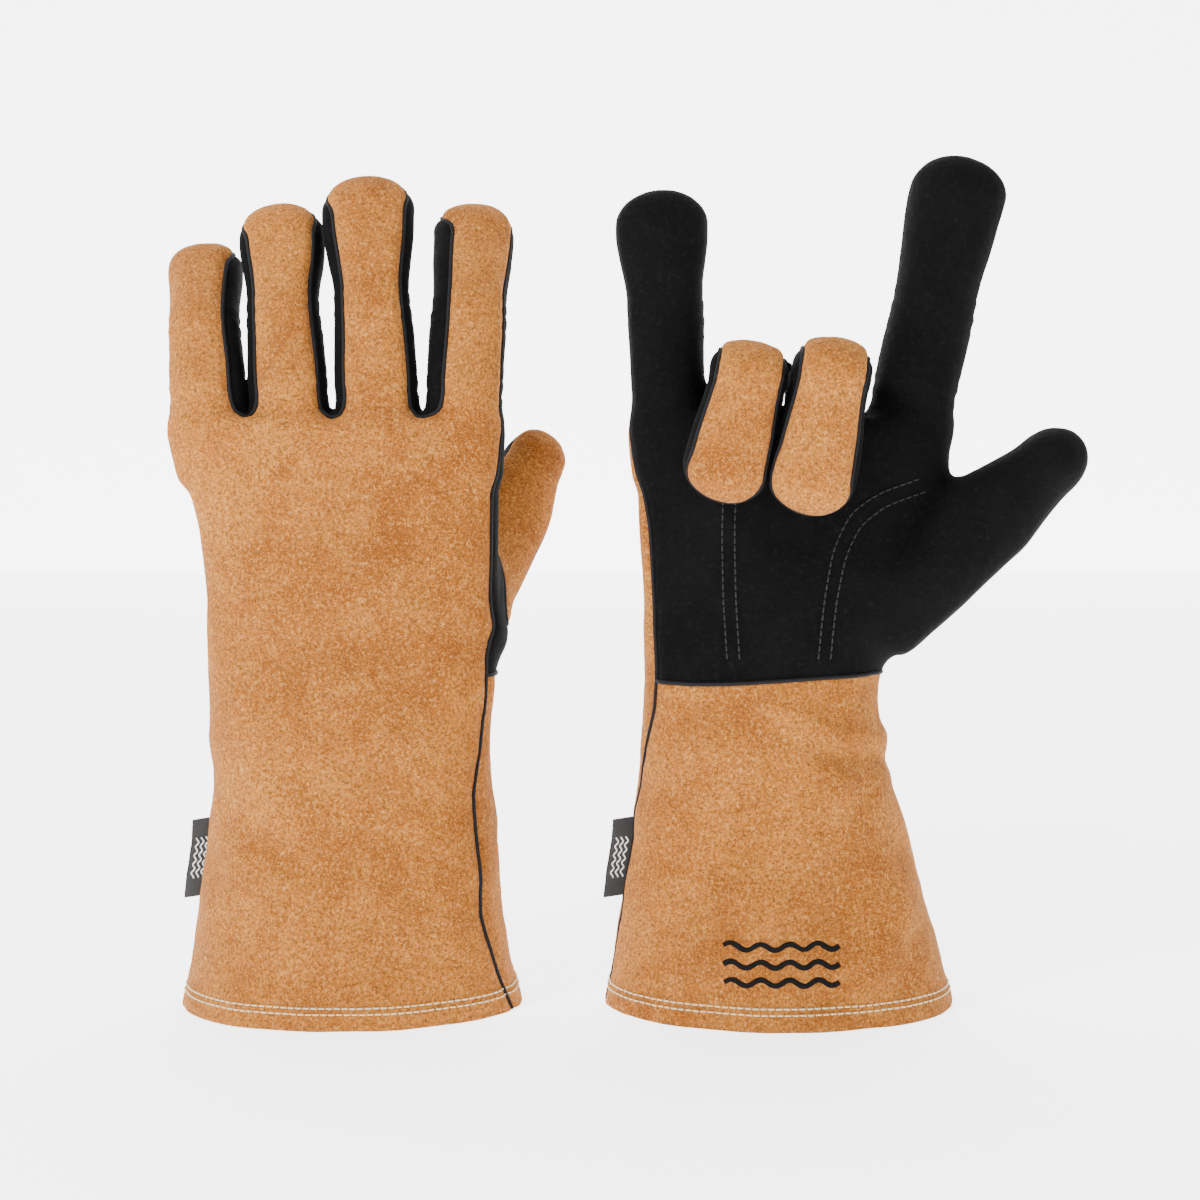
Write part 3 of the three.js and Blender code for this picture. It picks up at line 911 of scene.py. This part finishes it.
def bent(finger, points, weights, at_tip):
    """Points of a straight finger moved to the pose at rest."""
    bend = math.radians(finger["bend"])
    if at_tip:
        points = turned(points, finger["middle"], finger["axis"], weights * bend * finger["ratio"])
        weights = np.ones(len(points))
    return turned(points, finger["root"], finger["axis"], weights * bend)


# ---------- a glove's leather ----------

GRID_LOW = np.array([-92.0, -92.0, -7.0])
GRID_HIGH = {"left": (125, 52, 352), "right": (150, 52, 352)}


def surface_skin(glove, low, high, only=None):
    """The surface within a box. Boxes share one grid, so that neighbouring skins meet point on point."""
    low = GRID_LOW + CELL * np.floor((np.array(low) - GRID_LOW) / CELL)
    skin = Skin(*cell_surface(lambda p: glove.distance(p, only), low, high, CELL))
    for _ in range(3):
        slope = glove.slope(skin.points, only)
        square = np.maximum(np.sum(slope * slope, axis=1), 0.05)
        skin.points -= slope * (glove.distance(skin.points, only) / square)[:, None]
    skin.only = only
    return skin


def past(glove, index, start):
    """The cut across a finger, this far from its root fold."""
    spec = list(glove.fingers.values())[index]

    def field(p):
        body, fingers, thumb = glove.parts(p)
        mine = (np.argmin(fingers, axis=0) == index) & (thumb > body) & (p[:, 2] > HAND_TOP - 4)
        return np.where(mine, (p - spec["root"]) @ spec["along"] - start, -50)

    return field


def hand_skin(glove):
    """The hand, the thumb and the fingers' roots, cut along the seams and where the bodies change."""
    skin = surface_skin(glove, GRID_LOW, GRID_HIGH[glove.side])
    skin.split("standing", lambda p: p[:, 2])
    skin.keep(skin.marks.pop("standing"))
    skin.split("tan", glove.seam_height)
    skin.split("above_wrist", lambda p: p[:, 2] - WRIST - 3 * np.sin((p[:, 0] + 40) / 45) ** 2)

    def thumb_part(p):
        body, _, thumb = glove.parts(p)
        return np.minimum(glove.thumb_local(p)[:, 2] - 1, body - thumb)

    skin.split("thumb", thumb_part)
    for index, spec in enumerate(glove.fingers.values()):
        skin.split(f"root_{index}", past(glove, index, ROOT_CUT))
        skin.split(f"end_{index}", past(glove, index, END_CUT * spec["base"]))
    middles = skin.points[skin.faces].mean(axis=1)
    skin.keep(middles[:, 2] < HAND_TOP + ROOT_HEIGHT)
    return skin


def end_skin(glove, name):
    """One finger past the middle of its base, without its neighbours."""
    spec = glove.fingers[name]
    tip = spec["root"] + spec["along"] * spec["length"]
    low = np.minimum(spec["root"], tip) - (26, 24, 4)
    high = np.maximum(spec["root"], tip) + (26, 24, 8)
    skin = surface_skin(glove, low, high, name)
    skin.split("tan", glove.seam_height)
    start = END_CUT * spec["base"]
    skin.split("end", lambda p: (p - spec["root"]) @ spec["along"] - start)
    skin.keep(skin.marks.pop("end"))
    return skin


def thumb_weights(glove, points):
    body, _, thumb = glove.parts(points)
    along = glove.thumb_local(points)[:, 2]
    return smooth(along, 1, 25) * smooth(body - thumb, 0, 14)


def blended(made, glove, body, part, spec, at_tip, plain):
    """Joins a straight finger piece across its fold, then bends it to the pose at rest."""
    pivot = spec["middle"] if at_tip else spec["root"]
    start, end = pivot - spec["along"] * FOLD_REACH, pivot + spec["along"] * FOLD_REACH
    if not at_tip:
        start = pivot + spec["along"] * ROOT_CUT
    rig.blend(made, body, part, start=tuple(glove.world(start)), end=tuple(glove.world(end)))
    weights = np.zeros(len(plain))
    made.data.attributes["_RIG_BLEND"].data.foreach_get("value", weights)
    placed = glove.world(bent(spec, plain, weights, at_tip))
    made.data.vertices.foreach_set("co", placed.astype(np.float32).ravel())
    made.data.update()


def settle(made, glove, region, plain):
    """Says which body or bodies a piece made from plain points follows."""
    side = glove.side
    kind, _, finger = region.partition(":")
    if kind == "thumb":
        body, part = side + "_hand", side + "_thumb"
        low, high = glove.thumb["root"], glove.thumb["root"] + glove.thumb["turn"][:, 2] * 20
        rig.blend(made, body, part, start=tuple(glove.world(low)), end=tuple(glove.world(high)))
        weights = thumb_weights(glove, plain).astype(np.float32)
        made.data.attributes["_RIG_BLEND"].data.foreach_set("value", weights)
    elif kind == "root":
        blended(made, glove, side + "_hand", f"{side}_{finger}_base", glove.fingers[finger], False, plain)
    elif kind == "end":
        bodies = (f"{side}_{finger}_base", f"{side}_{finger}_tip")
        blended(made, glove, *bodies, glove.fingers[finger], True, plain)
    else:
        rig.ride(made, side + "_hand")


def facing(glove, faces):
    """Faces turned over where the glove is mirrored."""
    return faces if glove.mirror > 0 else [tuple(face)[::-1] for face in faces]


def make(glove, name, finish, region, points, faces, flat_angle=50):
    made = piece(f"{glove.side}_{name}", finish, glove.world(points), facing(glove, faces), flat_angle)
    settle(made, glove, region, points)
    return made


def regions_of(glove, skin):
    """The faces of the hand, the thumb and each finger's root."""
    chosen = {"thumb": skin.marks["thumb"]}
    left = ~skin.marks["thumb"]
    for index, name in enumerate(glove.fingers):
        end = skin.marks[f"end_{index}"] & left
        root = skin.marks[f"root_{index}"] & left & ~end
        chosen[f"root:{name}"] = root
        left = left & ~root & ~end
    chosen["hand"] = left
    return chosen


def dressed_skin(glove, skin):
    moved, normal = glove.dressed(skin.points, skin.only)
    at_hem = smooth(skin.points[:, 2], 14, 0)
    moved[:, 2] = np.where(skin.points[:, 2] < 14, skin.points[:, 2], moved[:, 2])
    moved += normal * (0.5 * at_hem)[:, None]
    normal[:, 2] *= 1 - at_hem
    normal /= np.linalg.norm(normal, axis=1)[:, None]
    return moved, normal


STEMS = {"hand": "", "thumb": "thumb_", "root": "{}_base_", "end": "{}_tip_"}


def panels(glove, skin, region, chosen, dressed):
    """The leather panels and the piping of one region."""
    points, normals = dressed
    tan = skin.marks["tan"]
    kind, _, finger = region.partition(":")
    stem = STEMS[kind].format(finger)
    if kind == "hand":
        above = skin.marks["above_wrist"]
        parts = {
            "back_panel": ("tan", chosen & tan),
            "palm_panel": ("black", chosen & ~tan & above),
            "cuff_front_panel": ("tan", chosen & ~tan & ~above),
        }
    else:
        parts = {"back": ("tan", chosen & tan), "front": ("black", chosen & ~tan)}
    for name, (finish, own) in parts.items():
        shape, faces = shell(points, normals, skin.faces[own], LEATHER)
        made = make(glove, "leather_" + stem + name, finish, region, shape, faces)
        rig.replaces(made, f"{glove.side}_{stem}{name}")
        if name == "palm_panel":
            strips = [node for node in frame["nodes"] if node.startswith(glove.side + "_fourchette")]
            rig.replaces(made, *strips)
    runs = [piping_run(points[c], normals[c]) for c in border_chains(skin.faces[chosen], tan[chosen])]
    made = make(glove, "welt_" + (stem or "side_") + "seam", "piping", region, *gathered(runs), 80)
    if kind == "hand":
        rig.replaces(made, f"{glove.side}_little_side_welt", f"{glove.side}_thumb_side_welt")
        front = chosen & ~tan
        runs = [piping_run(points[c], normals[c]) for c in border_chains(skin.faces[front], above[front])]
        made = make(glove, "welt_wrist", "piping", region, *gathered(runs), 80)
        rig.replaces(made, f"{glove.side}_wrist_welt")


def leather(glove):
    skin = hand_skin(glove)
    dressed = dressed_skin(glove, skin)
    for region, chosen in regions_of(glove, skin).items():
        panels(glove, skin, region, chosen, dressed)
    for name in glove.fingers:
        skin = end_skin(glove, name)
        panels(glove, skin, f"end:{name}", np.ones(len(skin.faces), bool), dressed_skin(glove, skin))


def piping_run(path, normals):
    path = evened(path, 3)
    return tube(path + normals * 0.25, normals, WELT, 8)


# ---------- linings ----------


def lining(glove):
    def inside(p):
        return glove.hand(p) + LINING_DEPTH

    for name, finish, low, high in (("cuff_lining", "canvas", 4, WRIST - 8), ("hand_lining", "fleece", WRIST - 8, 300)):
        skin = Skin(*cell_surface(inside, (-92, -52, low - 6), (92, 52, min(high, 246) + 6), 4.0))
        skin.split("low", lambda p: p[:, 2] - low)
        skin.keep(skin.marks.pop("low"))
        skin.split("high", lambda p: high - p[:, 2])
        skin.keep(skin.marks.pop("high"))
        slope = [inside(skin.points + axis) - inside(skin.points - axis) for axis in np.eye(3)]
        normals = np.array(slope).T
        normals /= np.maximum(np.linalg.norm(normals, axis=1), 1e-9)[:, None]
        points = skin.points + normals * (glove.wrinkles(skin.points) + 0.3 * waves(skin.points, 30, 21))[:, None]
        shape, faces = shell(points, normals, skin.faces, LINING)
        made = make(glove, "soft_" + name, finish, "hand", shape, faces)
        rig.replaces(made, f"{glove.side}_{name}")


# ---------- stitches ----------


def stitches(path, normals, spacing=STITCH, radius=THREAD, lift=0.12):
    """Short runs of thread that dive into the leather at both ends."""
    made = []
    lengths = np.linalg.norm(np.diff(path, axis=0), axis=1)
    at = np.concatenate([[0], np.cumsum(lengths)])
    count = int(at[-1] // spacing)
    shares = np.array([0.12, 0.2, 0.35, 0.5, 0.65, 0.8, 0.88])
    depth = np.array([-0.5, -0.1, 0.15, 0.22, 0.15, -0.1, -0.5])
    for i in range(count):
        along = (i + shares) * spacing
        line = np.array([np.interp(along, at, path[:, k]) for k in range(3)]).T
        way = np.array([np.interp(along, at, normals[:, k]) for k in range(3)]).T
        made.append(tube(line + way * (depth + lift)[:, None], way, radius, 6))
    return made


def hem_row(glove, height):
    turns = np.linspace(0, 2 * math.pi, 361)
    middle = glove.station(np.array([height]))[0][0]
    start = np.array([middle + 0 * turns, 0 * turns, height + 0 * turns]).T
    outward = np.array([np.cos(turns), np.sin(turns), 0 * turns]).T
    plain = crossing(glove.distance, start + outward * 100, -outward, 100, 80)
    moved, normals = glove.dressed(plain)
    moved[:, 2] = plain[:, 2]
    moved += normals * (0.5 * smooth(plain[:, 2], 14, 0))[:, None]
    return moved, normals


def on_palm(glove, line, spacing=1.5):
    """A line of (x, z) points laid on the palm side of the leather."""
    line = np.array([(x, 0, z) for x, z in line], float)
    line = evened(resampled(line, spacing), 12)
    start = line * (1, 0, 1) + (0, -60, 0)
    plain = crossing(glove.distance, start, np.array([0, 1.0, 0]) + 0 * start, 60, 60)
    return glove.dressed(plain)


PALM_LINES = {
    "right": [
        [(-23.5, 146), (-25, 170), (-25.5, 196), (-25, 214)],
        [(-18.5, 146), (-20, 170), (-20.5, 196), (-20, 214)],
        [(13, 146), (15.5, 170), (19, 190), (26, 205), (38, 213), (56, 219)],
        [(18, 146), (20.5, 170), (24, 187), (30, 200), (41, 208), (58, 213.5)],
    ],
}
PALM_LINES["left"] = PALM_LINES["right"]


def stitching(glove):
    rows = []
    for height in HEM_ROWS:
        rows += stitches(*hem_row(glove, height))
    make(glove, "hem_stitches", "cream_thread", "hand", *gathered(rows), 80)
    rows = []
    for line in PALM_LINES[glove.side]:
        rows += stitches(*on_palm(glove, line))
    make(glove, "palm_stitches", "black_thread", "hand", *gathered(rows), 80)


# ---------- label and printed mark ----------

LABEL_SIZE = (8.6, 33.0, 45.0)  # how far it stands out, its height and the height of its foot


def label(glove):
    out, height, foot = LABEL_SIZE
    rows, columns = 23, 7
    middle_z = np.linspace(foot, foot + height, rows)
    start = np.array([-100 + 0 * middle_z, 0 * middle_z, middle_z]).T
    edge, _ = glove.dressed(crossing(glove.distance, start, np.array([1.0, 0, 0]) + 0 * start, 70, 70))
    profile = []
    for share in np.linspace(0, 1, columns):
        profile.append((share, 0.55 * math.sqrt(max(0.0, 1 - share**4)) + 0.03))
    outline = profile + [(share, -half) for share, half in profile[::-1]]
    points = []
    for row, (x, _, z) in enumerate(edge):
        lean = 0.9 * math.sin(3.0 * row / rows)
        for share, half in outline:
            points.append((x + 1.5 - (out + 1.5) * share, half + lean * share * share, z - 1.6 * share))
    ring = len(outline)
    faces = []
    for row in range(rows - 1):
        for i in range(ring):
            j = (i + 1) % ring
            faces.append((row * ring + i, (row + 1) * ring + i, (row + 1) * ring + j, row * ring + j))
    faces.append(tuple(range(ring)))
    faces.append(tuple(range((rows - 1) * ring, rows * ring))[::-1])
    made = make(glove, "folded_label", "label", "hand", np.array(points), faces, 40)
    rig.replaces(made, f"{glove.side}_side_label")
    marks = []
    for side in (-1, 1):
        for share in (0.34, 0.54, 0.74):
            z = np.linspace(foot + 8, foot + height - 8, 60)
            x = np.interp(z, edge[:, 2], edge[:, 0]) + 1.5 - (out + 1.5) * share + 0.55 * np.sin((z - foot) * 1.7)
            y = side * (0.55 * math.sqrt(1 - share**4) + 0.05) + 0.9 * share * share * np.sin(3.0 * (z - foot) / height)
            line = np.array([x, y, z - 1.6 * share]).T
            marks.append(tube(line, np.array([0, side, 0.0]) + 0 * line, 0.3, 6, 0.5))
    make(glove, "label_waves", "white_thread", "hand", *gathered(marks), 80)


def printed_mark(glove):
    """Three level waves, one above the other, printed near the hem of the cuff's front."""
    runs = []
    middle, half, crest, periods = -2, 23, 1.7, 4
    for z in (19, 26, 33):
        x = np.linspace(middle - half, middle + half, 70)
        height = z + crest * np.sin((x - middle + half) * (math.pi * periods / half))
        plain = on_palm(glove, list(zip(x, height)), 0.7)
        runs.append(tube(plain[0] + plain[1] * 0.02, plain[1], 1.15, 10, 0.12))
    make(glove, "wave_mark", "print", "hand", *gathered(runs), 80)


gloves = {side: Glove(side) for side in ("left", "right")}
for side, glove in gloves.items():
    leather(glove)
    lining(glove)
    stitching(glove)
    label(glove)
printed_mark(gloves["right"])

# ---------- floor, light and camera ----------

VIEW_FROM_LEFT = 0.1035  # the view's middle, to the right of the left glove's middle
VIEW_HEIGHT = 0.1667
DISTANCE = 0.85
VIEW_WIDTH = 0.504
ELEVATION = 5
WORLD_LIGHT = 0.3
FLOOR_GLOW = 2.8
BACKDROP_GLOW = 4.0


def white(name, glow):
    made = bpy.data.materials.new(name)
    made.use_nodes = True
    shader = made.node_tree.nodes["Principled BSDF"]
    shader.inputs["Base Color"].default_value = (0.92, 0.92, 0.92, 1)
    shader.inputs["Roughness"].default_value = 0.85
    shader.inputs["Emission Color"].default_value = (1, 1, 1, 1)
    shader.inputs["Emission Strength"].default_value = glow
    return made


def screen(name, corners, glow):
    """A plain white plane of the studio, which isn't part of the gloves."""
    mesh = bpy.data.meshes.new(name)
    mesh.from_pydata(corners, [], [(0, 1, 2, 3)])
    mesh.materials.append(white(name + "_white", glow))
    made = bpy.data.objects.new(name, mesh)
    bpy.context.scene.collection.objects.link(made)
    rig.stage(made)


def lamp(name, place, target, power, size):
    data = bpy.data.lights.new(name, "AREA")
    data.energy, data.size = power, size
    made = bpy.data.objects.new(name, data)
    bpy.context.scene.collection.objects.link(made)
    made.location = place
    made.rotation_euler = (target - made.location).to_track_quat("-Z", "Y").to_euler()


def studio():
    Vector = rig.Vector
    middle = gloves["left"].place[0] / 1000 + VIEW_FROM_LEFT
    target = Vector((middle, 0, VIEW_HEIGHT))
    reach, back = 6, 2.4
    screen("floor", [(-reach, -reach, 0), (reach, -reach, 0), (reach, reach, 0), (-reach, reach, 0)], FLOOR_GLOW)
    screen("backdrop", [(-reach, back, 0), (reach, back, 0), (reach, back, reach), (-reach, back, reach)], BACKDROP_GLOW)
    world = bpy.context.scene.world or bpy.data.worlds.new("studio")
    bpy.context.scene.world = world
    world.use_nodes = True
    world.node_tree.nodes["Background"].inputs["Color"].default_value = (1, 1, 1, 1)
    world.node_tree.nodes["Background"].inputs["Strength"].default_value = WORLD_LIGHT
    lamp("key", (-0.9, -0.75, 1.1), target, 30, 0.3)
    lamp("fill", (1.1, -0.9, 0.5), target, 4, 0.8)
    lamp("top", (0.1, 0.3, 1.4), target, 6, 0.6)
    data = bpy.data.cameras.new("camera")
    data.lens = data.sensor_width * DISTANCE / VIEW_WIDTH
    camera = bpy.data.objects.new("camera", data)
    bpy.context.scene.collection.objects.link(camera)
    lift = math.radians(ELEVATION)
    camera.location = target + Vector((0, -math.cos(lift), math.sin(lift))) * DISTANCE
    camera.rotation_euler = (target - camera.location).to_track_quat("-Z", "Y").to_euler()
    bpy.context.scene.camera = camera


studio()

sizes = {"cad": [list(corner) for corner in CAD_BOX], "visual": [list(corner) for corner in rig.bounds()]}
with open("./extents.json", "w") as out:
    json.dump(sizes, out)
